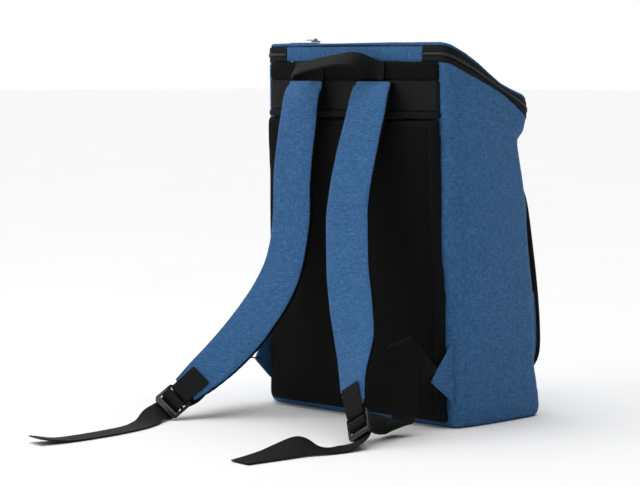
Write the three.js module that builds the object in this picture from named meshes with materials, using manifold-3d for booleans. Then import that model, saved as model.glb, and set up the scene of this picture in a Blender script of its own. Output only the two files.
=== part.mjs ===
// A soft cooler backpack that stands on its base, seen here as a set of sewn pieces.
// Units are millimetres and +Z is up. The back panel and the shoulder straps face +Y,
// the front pocket faces -Y, and the origin is the middle of the base's underside.
import * as THREE from "three";
import { mergeVertices } from "three/addons/utils/BufferGeometryUtils.js";
import Module from "manifold-3d";

// Main bag
const BASE_WIDTH = 314;
const BASE_DEPTH = 154;
const RIM_WIDTH = 295;
const RIM_DEPTH = 148;
const RIM_HEIGHT = 420;
const RIM_DROP = 71;
const BACK_LEAN = 11;
const BACK_BULGE = 12;
const SIDE_BULGE = 3;
const FRONT_INSET = 19;
const BACK_CORNER = 10;
const FRONT_CORNER = 14;
const BASE_EDGE = 10;
const WALL = 5;
const FLOOR_PAD = 7;
const BASE_PANEL = 3;
const GAP = 0.4;
const PAD_GAP = 0.8;

// Lid and its zip
const BAND_HEIGHT = 18.5;
const BAND_SAG = 0.6;
const BAND_WALL = 3;
const BAND_SEAT = 1;
const ZIP_COIL = 1.4;
const COIL_PROUD = 1.2;
const HINGE_WIDTH = 222;
const LID_CROWN = 8;
const SLIDER_LENGTH = 10;
const SLIDER_WIDTH = 6;
const SLIDER_HEIGHT = 1.8;
const SLIDER_INSET = 79.5;
const BAIL_WIRE = 0.9;
const BAIL_WIDTH = 1.6;
const PULL_LENGTH = 15;
const PULL_WIDTH = 5;
const PULL_THICKNESS = 1;
const PULL_PLAY = 0.35;
const END_TAPE_WIDTH = 5;
const END_TAPE_LENGTH = 46;
const END_TAPE_THICKNESS = 0.8;
const TAPE_SEAT = 0.67;

// Back panel
const BACK_MARGIN = 12;
const PAD_BOTTOM = 7;
const PAD_TOP = 356;
const PAD_THICKNESS = 9;
const PAD_CORNER = 3;
const RIDGE_HEIGHT = 5;
const RIDGE_PROUD = 7;
const RIDGE_CORNER = 2;
const YOKE_THICKNESS = 4;
const YOKE_CORNER = 3;
const TOP_BAND_HEIGHT = 20;
const TOP_BAND_THICKNESS = 5;

// Straps and webbing
const STRAP_WIDTH = 57;
const STRAP_FACE = 3;
const STRAP_MESH = 7;
const STRAP_BINDING = 0.5;
const STRAP_REACH = 160;
const STRAP_SPREAD = 150;
const WEBBING_WIDTH = 30;
const WEBBING_THICKNESS = 1.6;
const WEBBING_STEPS = 2;
const TAB_LENGTH = 27;
const TAB_THICKNESS = 1.4;
const BUCKLE_WIDTH = 38;
const BUCKLE_THICKNESS = 3.2;
const BUCKLE_BAR = 3.6;
const BUCKLE_SLOT = 7.4;
const BUCKLE_LIP = 4;
const LOCK_PLAY = 0.6;
const WING_HEIGHT = 69;
const WING_RISE = 30;
const WING_REACH = 31;
const WING_THICKNESS = 3;
const WING_TIP = 0.4;

// Carry handle
const HANDLE_WIDTH = 22;
const HANDLE_THICKNESS = 3;
const HANDLE_SPAN = 112;
const HANDLE_REACH = 36;
const HANDLE_LIFT = 14;
const HANDLE_STEPS = 2;

// Front pocket
const POCKET_MARGIN = 20;
const POCKET_BOTTOM = 46;
const POCKET_TOP = 290;
const POCKET_CORNER = 34;
const POCKET_DEPTH = 11;
const POCKET_SWELL = 10;
const POCKET_WALL = 3;
const POCKET_SEAT = 1.4;
const POCKET_FACE = 4;
const POCKET_PINCH = 145;
const PIPING = 4;

const SHELL_BOTTOM = BASE_PANEL + GAP;
const BUCKLE_PITCH = BUCKLE_SLOT + BUCKLE_BAR;
const STRAP_SEAT = 2;
const STRAP_TOP = RIM_HEIGHT - TOP_BAND_HEIGHT - STRAP_SEAT;

const fabric = (color, roughness = 0.9) => new THREE.MeshStandardMaterial({ color, roughness, metalness: 0 });
const BLUE = 0x3c6a9c;
const BLACK = 0x17181a;

const lerp = THREE.MathUtils.lerp;
const vector = (x, y, z) => new THREE.Vector3(x, y, z);
const object = new THREE.Group();

function add(name, geometry, material) {
  const mesh = new THREE.Mesh(geometry, material);
  mesh.name = name;
  object.add(mesh);
  return mesh;
}

// Splits a four-sided face along its shorter diagonal, so that both faces of a thin
// twisted band are split alike.
function splitFace(points, [a, b, c, d]) {
  const flat = points[a].distanceTo(points[c]) <= points[b].distanceTo(points[d]);
  return flat ? [a, b, c, a, c, d] : [a, b, d, b, c, d];
}

// Skins rings of equally many points into one closed surface. It closes on itself where
// loop is true, and otherwise each end is closed by a fan to its middle point.
function loft(rings, { loop = false, start, end } = {}) {
  const count = rings[0].length;
  const points = rings.flat();
  const index = [];
  const spans = loop ? rings.length : rings.length - 1;
  for (let i = 0; i < spans; i++) {
    const low = i * count;
    const high = ((i + 1) % rings.length) * count;
    for (let k = 0; k < count; k++) {
      const next = (k + 1) % count;
      index.push(...splitFace(points, [low + k, low + next, high + next, high + k]));
    }
  }
  if (!loop) {
    const middle = (ring) => ring.reduce((sum, p) => sum.add(p), vector(0, 0, 0)).divideScalar(count);
    points.push(start ?? middle(rings[0]), end ?? middle(rings.at(-1)));
    const last = (rings.length - 1) * count;
    for (let k = 0; k < count; k++) {
      const next = (k + 1) % count;
      index.push(points.length - 2, next, k, points.length - 1, last + k, last + next);
    }
  }
  return facingOut(points, index);
}

// Makes the geometry, turned round where its faces would point inwards.
function facingOut(points, index) {
  let volume = 0;
  for (let i = 0; i < index.length; i += 3) {
    const [a, b, c] = [points[index[i]], points[index[i + 1]], points[index[i + 2]]];
    volume += a.dot(b.clone().cross(c));
  }
  const geometry = new THREE.BufferGeometry().setFromPoints(points);
  geometry.setIndex(volume < 0 ? index.reverse() : index);
  geometry.computeVertexNormals();
  return geometry;
}

// Joins two overlapping closed shapes into one.
const wasm = await Module();
wasm.setup();
function joined(first, second) {
  const [a, b] = [first, second].map((geometry) => {
    geometry.deleteAttribute("normal");
    geometry.deleteAttribute("uv");
    const merged = mergeVertices(geometry);
    const mesh = new wasm.Mesh({
      numProp: 3,
      vertProperties: merged.attributes.position.array,
      triVerts: new Uint32Array(merged.index.array),
    });
    return new wasm.Manifold(mesh);
  });
  const mesh = a.add(b).getMesh();
  const geometry = new THREE.BufferGeometry();
  geometry.setAttribute("position", new THREE.BufferAttribute(mesh.vertProperties, 3));
  geometry.setIndex(new THREE.BufferAttribute(mesh.triVerts, 1));
  return geometry;
}

// Plan outline of the bag, from the middle of the back round by -X. The share up goes
// from 0 at the base to 1 at the rim.
const CORNER_STEPS = 4;
const SIDE_STEPS = 6;
const HINGE_STEPS = 3;
const RIM_BULGE_SHARE = 0.35;
const halfWidth = (up) => lerp(BASE_WIDTH, RIM_WIDTH, up) / 2;
const backLine = (up) => BASE_DEPTH / 2 + BACK_LEAN * up;
const frontLine = (up) => -BASE_DEPTH / 2 + (BASE_DEPTH + BACK_LEAN - RIM_DEPTH) * up;
const clamp = THREE.MathUtils.clamp;
const backBulge = (up) => BACK_BULGE * lerp(RIM_BULGE_SHARE, 1, Math.sin(Math.PI * clamp(up, 0, 1)));

function planOutline(up, inset = 0, frontShift = 0) {
  const wide = halfWidth(up) - inset;
  const back = backLine(up) - inset;
  const front = frontLine(up) + inset + frontShift;
  const backRadius = Math.max(BACK_CORNER - inset, WALL / 2);
  const frontRadius = Math.max(FRONT_CORNER - inset, WALL / 2);
  const hinge = (HINGE_WIDTH / RIM_WIDTH) * wide;
  const half = [];
  for (let i = 0; i < HINGE_STEPS; i++) half.push([(-hinge * i) / HINGE_STEPS, back]);
  half.push([-hinge, back]);
  for (let i = 0; i <= CORNER_STEPS; i++) {
    const angle = (Math.PI / 2) * (1 + i / CORNER_STEPS);
    half.push([
      -(wide - backRadius) + backRadius * Math.cos(angle),
      back - backRadius + backRadius * Math.sin(angle),
    ]);
  }
  for (let i = 1; i < SIDE_STEPS; i++) {
    half.push([-wide, lerp(back - backRadius, front + frontRadius, i / SIDE_STEPS)]);
  }
  for (let i = 0; i <= CORNER_STEPS; i++) {
    const angle = Math.PI + (Math.PI / 2) * (i / CORNER_STEPS);
    half.push([
      -(wide - frontRadius) + frontRadius * Math.cos(angle),
      front + frontRadius + frontRadius * Math.sin(angle),
    ]);
  }
  for (let i = 1; i < HINGE_STEPS; i++) {
    half.push([lerp(-(wide - frontRadius), 0, i / HINGE_STEPS), front]);
  }
  const mirrored = half.slice(1).reverse().map(([x, y]) => [-x, y]);
  const middle = (back + front) / 2;
  const depth = (back - front) / 2;
  return [...half, [0, front], ...mirrored].map(([x, y]) => {
    const across = 1 - (x / wide) ** 2;
    const along = 1 - ((y - middle) / depth) ** 2;
    return [x + Math.sign(x) * SIDE_BULGE * along, y > middle ? y + backBulge(up) * across : y];
  });
}

// The rim falls from the back to the front, with the last of its fall near the corner.
const RIM_SLOPE_SHARE = 0.8;
const RIM_NOSE_POWER = 7;
const rimShare = (y) => clamp((backLine(1) - y) / RIM_DEPTH, 0, 1);
const rimFall = (share) => RIM_SLOPE_SHARE * share + (1 - RIM_SLOPE_SHARE) * share ** RIM_NOSE_POWER;
const rimZ = (y) => RIM_HEIGHT - RIM_DROP * rimFall(rimShare(y));

// The zip band is tall at the back, sags along the sides and grows again at the front.
const BAND_SAG_POWER = 1.6;
const bandSag = (y) => BAND_SAG * Math.sin(Math.PI * rimShare(y) ** BAND_SAG_POWER) ** 2;
const bandHeight = (y) => BAND_HEIGHT * (1 - bandSag(y));
const bandTop = (y) => rimZ(y) + bandHeight(y);

const rimRing = planOutline(1);

// Sections of the tub. up is a share of the rim's height, edge a share of the rounded
// base edge and front a share of FRONT_INSET, by which the front panel stands back.
const SHELL_SECTIONS = [
  { up: 0, edge: 1, front: 0 },
  { up: 0.006, edge: 0.3, front: 0 },
  { up: 0.025, edge: 0, front: 0 },
  { up: 0.08, edge: 0, front: 0.05 },
  { up: 0.16, edge: 0, front: 0.3 },
  { up: 0.3, edge: 0, front: 0.2 },
  { up: 0.43, edge: 0, front: 0.2 },
  { up: 0.58, edge: 0, front: 0.44 },
  { up: 0.7, edge: 0, front: 0.48 },
  { up: 0.82, edge: 0, front: 0.8 },
  { up: 0.9, edge: 0, front: 1 },
  { up: 0.935, edge: 0, front: 0.95 },
  { up: 0.96, edge: 0, front: 0.35 },
  { up: 1, edge: 0, front: 0 },
];

function shellRing({ up, edge, front }, inset, z = null) {
  const outline = planOutline(up, inset + edge * BASE_EDGE, front * FRONT_INSET);
  return outline.map(([x, y], k) => vector(x, y, z ?? lerp(SHELL_BOTTOM, rimZ(rimRing[k][1]), up)));
}

function bodyShell() {
  const outer = SHELL_SECTIONS.map((section) => shellRing(section, 0));
  const floor = SHELL_BOTTOM + FLOOR_PAD;
  const above = SHELL_SECTIONS.filter(({ up }) => up * (RIM_HEIGHT - RIM_DROP) > 2 * floor);
  const inner = above.map((section) => shellRing(section, WALL));
  const corner = { up: floor / RIM_HEIGHT, edge: 0, front: 0 };
  return loft([...outer, ...inner.reverse(), shellRing(corner, WALL, floor)]);
}

function basePanel() {
  const outline = planOutline(0, BASE_EDGE + GAP);
  return loft([0, BASE_PANEL].map((z) => outline.map(([x, y]) => vector(x, y, z))));
}

// The bag's outer back and front surfaces, where pads and the pocket sit.
const heightShare = (z) => (z - SHELL_BOTTOM) / (RIM_HEIGHT - SHELL_BOTTOM);
function backSurface(x, z) {
  const up = heightShare(z);
  return backLine(up) + backBulge(up) * (1 - (x / halfWidth(up)) ** 2);
}
function frontSurface(z) {
  const up = (z - SHELL_BOTTOM) / (RIM_HEIGHT - RIM_DROP - SHELL_BOTTOM);
  const next = SHELL_SECTIONS.findIndex((section) => section.up >= up);
  const [low, high] = [SHELL_SECTIONS[next - 1], SHELL_SECTIONS[next]];
  const share = (up - low.up) / (high.up - low.up);
  return frontLine(up) + FRONT_INSET * lerp(low.front, high.front, share);
}

// Bands that stand on the rim. Shares from and to are of the band's height.
function outwardNormal(ring, k) {
  const [before, after] = [ring.at(k - 1), ring[(k + 1) % ring.length]];
  return new THREE.Vector2(after[1] - before[1], before[0] - after[0]).normalize();
}

function rimBand(stations, from, to, proud = 0, thickness = BAND_WALL, trim = 0) {
  const rings = stations.map((station, i) => {
    const k = (station + rimRing.length) % rimRing.length;
    const out = outwardNormal(rimRing, k);
    const along = new THREE.Vector2(-out.y, out.x);
    const end = i === 0 ? trim : i === stations.length - 1 ? -trim : 0;
    const place = (offset, share) => {
      const [x, y] = rimRing[k];
      const z = rimZ(y) + BAND_SEAT + share * (bandHeight(y) - BAND_SEAT - GAP);
      return vector(x + out.x * offset + along.x * end, y + out.y * offset + along.y * end, z);
    };
    return [place(proud, from), place(proud, to), place(-thickness, to), place(-thickness, from)];
  });
  return loft(rings);
}

const range = (from, to) => Array.from({ length: to - from + 1 }, (_, i) => from + i);
const zipStations = range(HINGE_STEPS, rimRing.length - HINGE_STEPS);
const hingeStations = range(-HINGE_STEPS, HINGE_STEPS);

// The lid is a thin crowned panel on top of the band. Rows go from its underside to its
// middle: reach is a share of the outline, and rise a share of LID_CROWN.
const LID_SECTIONS = [
  { reach: 0.5, rise: 0 },
  { reach: 0.95, rise: 0 },
  { reach: 1, rise: 0.25 },
  { reach: 0.985, rise: 0.5 },
  { reach: 0.86, rise: 0.66 },
  { reach: 0.5, rise: 0.93 },
];
const lidMiddle = (backLine(1) + frontLine(1)) / 2;
const lidBase = (y) => bandTop(y) + GAP;

function lidPanel() {
  const rings = LID_SECTIONS.map(({ reach, rise }) =>
    rimRing.map(([x, y]) => {
      const along = lidMiddle + (y - lidMiddle) * reach;
      return vector(x * reach, along, lidBase(along) + rise * LID_CROWN);
    }),
  );
  const middle = (rise) => vector(0, lidMiddle, lidBase(lidMiddle) + rise * LID_CROWN);
  return loft(rings, { start: middle(0), end: middle(1) });
}

// A pad that follows a surface. side is +1 where it stands out towards +Y, -1 towards -Y.
// Rows of PAD_SECTIONS: reach is a share of the outline, rise of the pad's thickness.
const PAD_SECTIONS = [
  { reach: 0.35, rise: 0 },
  { reach: 0.7, rise: 0 },
  { reach: 1, rise: 0 },
  { reach: 1, rise: 0.5 },
  { reach: 0.97, rise: 0.85 },
  { reach: 0.9, rise: 1 },
  { reach: 0.5, rise: 1 },
];
const PAD_CORNER_STEPS = 3;
const PAD_STEPS_ACROSS = 6;
const PAD_STEPS_UP = 4;

function roundedRectangle(halfX, halfZ, radius) {
  const corners = [[1, 1], [-1, 1], [-1, -1], [1, -1]];
  const points = [];
  corners.forEach(([sx, sz], turn) => {
    for (let i = 0; i <= PAD_CORNER_STEPS; i++) {
      const angle = (Math.PI / 2) * (turn + i / PAD_CORNER_STEPS);
      const x = sx * (halfX - radius) + radius * Math.cos(angle);
      points.push([x, sz * (halfZ - radius) + radius * Math.sin(angle)]);
    }
    const [nx, nz] = corners[(turn + 1) % corners.length];
    const from = points.at(-1);
    const toAngle = (Math.PI / 2) * (turn + 1);
    const to = [
      nx * (halfX - radius) + radius * Math.cos(toAngle),
      nz * (halfZ - radius) + radius * Math.sin(toAngle),
    ];
    const steps = turn % 2 ? PAD_STEPS_UP : PAD_STEPS_ACROSS;
    for (let i = 1; i < steps; i++) {
      points.push([lerp(from[0], to[0], i / steps), lerp(from[1], to[1], i / steps)]);
    }
  });
  return points;
}

function surfacePad({ bottom, top, wide, corner, thickness, surface, side, gap = PAD_GAP }) {
  const middle = (bottom + top) / 2;
  const place = (x, z, rise) => vector(x, surface(x, z) + side * (gap + rise * thickness), z);
  const outline = roundedRectangle(1, (top - bottom) / 2 / wide(middle), corner / wide(middle));
  const rings = PAD_SECTIONS.map(({ reach, rise }) =>
    outline.map(([x, z]) => {
      const height = middle + z * wide(middle) * reach;
      return place(x * wide(height) * reach, height, rise);
    }),
  );
  return loft(rings, { start: place(0, middle, 0), end: place(0, middle, 1) });
}

const panelWide = (z) => halfWidth(heightShare(z)) - BACK_MARGIN;
const backPad = (bottom, top, thickness, corner) =>
  surfacePad({ bottom, top, wide: panelWide, corner, thickness, surface: backSurface, side: 1 });

// Flat bands swept through stations. A section's across and out are shares of half the
// width and half the thickness.
const WEBBING_SECTION = [
  { across: -1, out: -1 },
  { across: 1, out: -1 },
  { across: 1, out: 1 },
  { across: -1, out: 1 },
];
const MESH_SECTION = [
  { across: -1, out: 1 },
  { across: 0, out: 1 },
  { across: 1, out: 1 },
  { across: 0.96, out: -1 },
  { across: 0, out: -1 },
  { across: -0.96, out: -1 },
];
const PADDED_SECTION = [
  { across: -0.96, out: -1 },
  { across: 0, out: -1 },
  { across: 0.96, out: -1 },
  { across: 1, out: -0.2 },
  { across: 0.92, out: 0.5 },
  { across: 0.55, out: 0.92 },
  { across: 0, out: 1 },
  { across: -0.55, out: 0.92 },
  { across: -0.92, out: 0.5 },
  { across: -1, out: -0.2 },
];

// Gives each row of a route its frame. across is the direction from one edge to the
// other, made square to the route, and out is the face's outward direction.
function stationsOf(rows, stepsPerRow = 1) {
  const curve = new THREE.CatmullRomCurve3(rows.map((row) => row.at), false, "centripetal");
  const last = rows.length - 1;
  return range(0, last * stepsPerRow).map((i) => {
    const along = i / stepsPerRow;
    const low = Math.min(Math.floor(along), last - 1);
    const mix = (key) => lerp(rows[low][key] ?? 1, rows[low + 1][key] ?? 1, along - low);
    const tangent = curve.getTangent(along / last);
    const across = rows[low].across.clone().lerp(rows[low + 1].across, along - low);
    across.addScaledVector(tangent, -across.dot(tangent)).normalize();
    const out = tangent.clone().cross(across);
    return { at: curve.getPoint(along / last), across, out, tangent, wide: mix("wide"), thick: mix("thick") };
  });
}

function sweep(stations, section, width, thickness, offset = () => 0) {
  return loft(
    stations.map((station) =>
      section.map(({ across, out }) =>
        station.at
          .clone()
          .addScaledVector(station.across, (across * width * station.wide) / 2)
          .addScaledVector(station.out, (out * thickness * station.thick) / 2 + offset(station)),
      ),
    ),
  );
}

// The direction across a band: yaw turns it from -X towards -Y, and dip lowers its -X end.
function acrossOf(yaw, dip) {
  const [a, b] = [yaw, dip].map(THREE.MathUtils.degToRad);
  return vector(-Math.cos(a) * Math.cos(b), -Math.sin(a) * Math.cos(b), -Math.sin(b));
}

// Shoulder straps, from the yoke down to the buckle. up is a share of STRAP_TOP, out of
// STRAP_REACH from the strap's root, side of STRAP_SPREAD, wide and thick of the strap.
const STRAP_ROWS = {
  left: [
    { up: 1, out: 0, side: 0.427, yaw: 0, dip: 0, wide: 1, thick: 0.5 },
    { up: 0.986, out: 0.01, side: 0.427, yaw: 0, dip: 0, wide: 1.01, thick: 0.7 },
    { up: 0.965, out: 0.05, side: 0.42, yaw: 0, dip: 0, wide: 1.02, thick: 0.9 },
    { up: 0.915, out: 0.094, side: 0.4, yaw: 2, dip: 0, wide: 1, thick: 1 },
    { up: 0.855, out: 0.131, side: 0.387, yaw: 5, dip: 0, wide: 1, thick: 1 },
    { up: 0.78, out: 0.169, side: 0.38, yaw: 6, dip: 0, wide: 1, thick: 1 },
    { up: 0.695, out: 0.2, side: 0.373, yaw: 6, dip: 0, wide: 1, thick: 1 },
    { up: 0.607, out: 0.211, side: 0.36, yaw: 6, dip: 2, wide: 1, thick: 1 },
    { up: 0.521, out: 0.23, side: 0.375, yaw: 5, dip: 5, wide: 1, thick: 1 },
    { up: 0.433, out: 0.262, side: 0.415, yaw: 5, dip: 12, wide: 1, thick: 1 },
    { up: 0.348, out: 0.352, side: 0.48, yaw: 5, dip: 20, wide: 1.02, thick: 1 },
    { up: 0.244, out: 0.502, side: 0.605, yaw: 5, dip: 28, wide: 1, thick: 1 },
    { up: 0.171, out: 0.652, side: 0.7, yaw: 5, dip: 34, wide: 0.9, thick: 0.95 },
    { up: 0.113, out: 0.8, side: 0.793, yaw: 5, dip: 37, wide: 0.8, thick: 0.8 },
    { up: 0.082, out: 0.888, side: 0.84, yaw: 5, dip: 38, wide: 0.66, thick: 0.6 },
  ],
  right: [
    { up: 1, out: 0, side: -0.31, yaw: 0, dip: 0, wide: 1, thick: 0.5 },
    { up: 0.986, out: 0.01, side: -0.31, yaw: 0, dip: 0, wide: 1.01, thick: 0.7 },
    { up: 0.967, out: 0.05, side: -0.32, yaw: 0, dip: 0, wide: 1.02, thick: 0.9 },
    { up: 0.92, out: 0.106, side: -0.347, yaw: 3, dip: 0, wide: 1, thick: 1 },
    { up: 0.85, out: 0.175, side: -0.36, yaw: 6, dip: 0, wide: 1, thick: 1 },
    { up: 0.77, out: 0.244, side: -0.367, yaw: 7, dip: 0, wide: 1, thick: 1 },
    { up: 0.69, out: 0.319, side: -0.387, yaw: 7, dip: 0, wide: 1, thick: 1 },
    { up: 0.61, out: 0.381, side: -0.42, yaw: 8, dip: 0, wide: 1, thick: 1 },
    { up: 0.531, out: 0.438, side: -0.485, yaw: 8, dip: 0, wide: 1, thick: 1 },
    { up: 0.463, out: 0.494, side: -0.545, yaw: 8, dip: 0, wide: 1, thick: 1 },
    { up: 0.372, out: 0.563, side: -0.652, yaw: 8, dip: 0, wide: 1, thick: 1 },
    { up: 0.274, out: 0.644, side: -0.779, yaw: 6, dip: -6, wide: 0.96, thick: 1 },
    { up: 0.214, out: 0.7, side: -0.825, yaw: 2, dip: -22, wide: 0.84, thick: 0.95 },
    { up: 0.153, out: 0.756, side: -0.873, yaw: 0, dip: -34, wide: 0.74, thick: 0.8 },
    { up: 0.098, out: 0.806, side: -0.953, yaw: 0, dip: -38, wide: 0.6, thick: 0.6 },
  ],
};
const STRAP_STEPS = 2;
const ROOT_THICKNESS = (STRAP_FACE + STRAP_MESH) * STRAP_ROWS.left[0].thick;
const strapRoot = backSurface(0, STRAP_TOP) + PAD_GAP + YOKE_THICKNESS + ROOT_THICKNESS / 2 + 2 * GAP;

function strapStations(rows) {
  const points = rows.map(({ up, out, side, yaw, dip, wide, thick }) => ({
    at: vector(side * STRAP_SPREAD, strapRoot + out * STRAP_REACH, up * STRAP_TOP),
    across: acrossOf(yaw, dip),
    wide,
    thick,
  }));
  return stationsOf(points, STRAP_STEPS);
}

// The buckle's frame at a strap's end, with its middle bar at the origin. along is the
// way down the strap and out the strap's outer side.
const STRAP_TO_BUCKLE = 17;
const BUCKLE_SINK = 0.5;
function buckleFrame(stations) {
  const { at, tangent, across, out } = stations.at(-1);
  const origin = at.clone().addScaledVector(tangent, STRAP_TO_BUCKLE).addScaledVector(out, BUCKLE_SINK);
  const point = (along, raise) => origin.clone().addScaledVector(tangent, along).addScaledVector(out, raise);
  return { origin, tangent, across, out, point };
}

// A ladder lock: two rails and three bars, with a lip below the last bar.
function ladderLock() {
  const half = BUCKLE_WIDTH / 2;
  const top = -BUCKLE_PITCH - BUCKLE_BAR / 2;
  const bottom = BUCKLE_PITCH + BUCKLE_BAR / 2 + BUCKLE_LIP;
  const cut = BUCKLE_BAR;
  const shape = new THREE.Shape();
  shape.moveTo(-half + cut, top);
  shape.lineTo(half - cut, top);
  shape.lineTo(half, top + cut);
  shape.lineTo(half, bottom - BUCKLE_LIP);
  shape.lineTo(half - cut, bottom);
  shape.lineTo(-half + cut, bottom);
  shape.lineTo(-half, bottom - BUCKLE_LIP);
  shape.lineTo(-half, top + cut);
  for (const middle of [-BUCKLE_PITCH / 2, BUCKLE_PITCH / 2]) {
    const wide = WEBBING_WIDTH / 2 + GAP;
    const tall = BUCKLE_SLOT / 2;
    const slot = new THREE.Path();
    slot.moveTo(-wide, middle - tall);
    slot.lineTo(-wide, middle + tall);
    slot.lineTo(wide, middle + tall);
    slot.lineTo(wide, middle - tall);
    shape.holes.push(slot);
  }
  const settings = { depth: BUCKLE_THICKNESS, bevelEnabled: false };
  return new THREE.ExtrudeGeometry(shape, settings).translate(0, 0, -BUCKLE_THICKNESS / 2);
}

// Webbing through the lock, as distances along the strap and out of the lock's middle.
// The left one reaches the lock from above, behind the strap, and the right one from behind.
const clearOf = BUCKLE_THICKNESS / 2 + LOCK_PLAY + WEBBING_THICKNESS / 2;
const slotMiddle = BUCKLE_PITCH / 2;
const LOCK_ENTRY = {
  left: [
    { along: -2.4 * BUCKLE_PITCH, raise: -5.2 * clearOf },
    { along: -1.6 * BUCKLE_PITCH, raise: -4.6 * clearOf },
    { along: -0.86 * BUCKLE_PITCH, raise: -3 * clearOf },
    { along: -1.02 * slotMiddle, raise: -1.4 * clearOf },
  ],
  right: [
    { along: -1.2 * slotMiddle, raise: -6 * clearOf },
    { along: -1.05 * slotMiddle, raise: -2.4 * clearOf },
  ],
};
const LOCK_ROUTE = [
  { along: -slotMiddle, raise: 0 },
  { along: -0.75 * slotMiddle, raise: 0.8 * clearOf },
  { along: -0.35 * slotMiddle, raise: 1.05 * clearOf },
  { along: 0.35 * slotMiddle, raise: 1.05 * clearOf },
  { along: 0.75 * slotMiddle, raise: 0.8 * clearOf },
  { along: slotMiddle, raise: 0 },
  { along: 1.25 * slotMiddle, raise: -0.8 * clearOf },
  { along: 1.7 * slotMiddle, raise: -1.1 * clearOf },
  { along: 1.6 * BUCKLE_PITCH, raise: -1.15 * clearOf },
];

// Webbing from the wing to the lock, and the free tail from the lock along the ground.
// Rows are shares of STRAP_SPREAD, STRAP_REACH from the bag's back line, and WING_HEIGHT.
const FEED_ROWS = {
  left: [
    { side: 0.968, out: 0.26, up: 0.85, yaw: 8, dip: 0 },
    { side: 0.955, out: 0.4, up: 0.93, yaw: 8, dip: 10 },
    { side: 0.93, out: 0.57, up: 0.87, yaw: 8, dip: 20 },
    { side: 0.905, out: 0.72, up: 0.75, yaw: 8, dip: 28 },
  ],
  right: [
    { side: -0.973, out: 0.244, up: 0.887, yaw: 70, dip: -42 },
    { side: -0.947, out: 0.283, up: 1.007, yaw: 58, dip: -40 },
    { side: -0.923, out: 0.321, up: 1.132, yaw: 46, dip: -36 },
    { side: -0.899, out: 0.359, up: 1.255, yaw: 36, dip: -30 },
    { side: -0.876, out: 0.395, up: 1.377, yaw: 30, dip: -26 },
    { side: -0.861, out: 0.403, up: 1.455, yaw: 30, dip: -26 },
    { side: -0.857, out: 0.416, up: 1.501, yaw: 30, dip: -26 },
    { side: -0.865, out: 0.437, up: 1.52, yaw: 30, dip: -26 },
    { side: -0.88, out: 0.454, up: 1.501, yaw: 30, dip: -26 },
    { side: -0.894, out: 0.457, up: 1.455, yaw: 30, dip: -26 },
    { side: -0.909, out: 0.449, up: 1.377, yaw: 30, dip: -22 },
    { side: -0.923, out: 0.446, up: 1.235, yaw: 29, dip: -12 },
    { side: -0.928, out: 0.444, up: 1.003, yaw: 28, dip: -4 },
    { side: -0.928, out: 0.447, up: 0.641, yaw: 24, dip: -3 },
    { side: -0.927, out: 0.451, up: 0.351, yaw: 18, dip: -8 },
    { side: -0.927, out: 0.465, up: 0.217, yaw: 14, dip: -15 },
    { side: -0.931, out: 0.501, up: 0.145, yaw: 11, dip: -24 },
    { side: -0.939, out: 0.559, up: 0.145, yaw: 9, dip: -34 },
    { side: -0.953, out: 0.634, up: 0.18, yaw: 7, dip: -40 },
    { side: -0.973, out: 0.719, up: 0.22, yaw: 4, dip: -36 },
  ],
};
const TAIL_ROWS = {
  left: [
    { side: 0.91, out: 1.29, up: 0.1, yaw: 2, dip: 20 },
    { side: 0.84, out: 1.4, up: 0.03, yaw: -10, dip: 7 },
    { side: 0.75, out: 1.58, up: 0.012, yaw: -12, dip: 0 },
    { side: 0.69, out: 1.85, up: 0.012, yaw: -6, dip: 0 },
    { side: 0.667, out: 2.15, up: 0.012, yaw: -2, dip: 0 },
    { side: 0.673, out: 2.33, up: 0.02, yaw: 3, dip: 0 },
    { side: 0.7, out: 2.46, up: 0.07, yaw: 12, dip: 4 },
    { side: 0.715, out: 2.53, up: 0.1, yaw: 15, dip: 4 },
  ],
  right: [
    { side: -1.09, out: 1.16, up: 0.06, yaw: 0, dip: -8 },
    { side: -1.08, out: 1.26, up: 0.012, yaw: -2, dip: 0 },
    { side: -1.06, out: 1.37, up: 0.04, yaw: -6, dip: 8 },
    { side: -1.03, out: 1.46, up: 0.11, yaw: -6, dip: 28 },
    { side: -1.01, out: 1.54, up: 0.14, yaw: -6, dip: 37 },
    { side: -0.99, out: 1.64, up: 0.11, yaw: -6, dip: 27 },
    { side: -0.965, out: 1.82, up: 0.05, yaw: -4, dip: 9 },
    { side: -0.94, out: 2.05, up: 0.012, yaw: -10, dip: 0 },
  ],
};

function strapWebbing(hand, frame) {
  const lowest = WEBBING_THICKNESS / 2;
  const place = ({ side, out, up, yaw, dip }) => ({
    at: vector(side * STRAP_SPREAD, backLine(0) + out * STRAP_REACH, lowest + up * WING_HEIGHT),
    across: acrossOf(yaw, dip),
  });
  const thread = ({ along, raise }) => ({ at: frame.point(along, raise), across: frame.across });
  const threaded = [...LOCK_ENTRY[hand], ...LOCK_ROUTE].map(thread);
  const rows = [...FEED_ROWS[hand].map(place), ...threaded, ...TAIL_ROWS[hand].map(place)];
  return sweep(stationsOf(rows, WEBBING_STEPS), WEBBING_SECTION, WEBBING_WIDTH, WEBBING_THICKNESS);
}

const TAB_CLIMB = 0.07;
const TAB_PLAY = 0.9;
const TAB_TUCK = 1;

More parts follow.
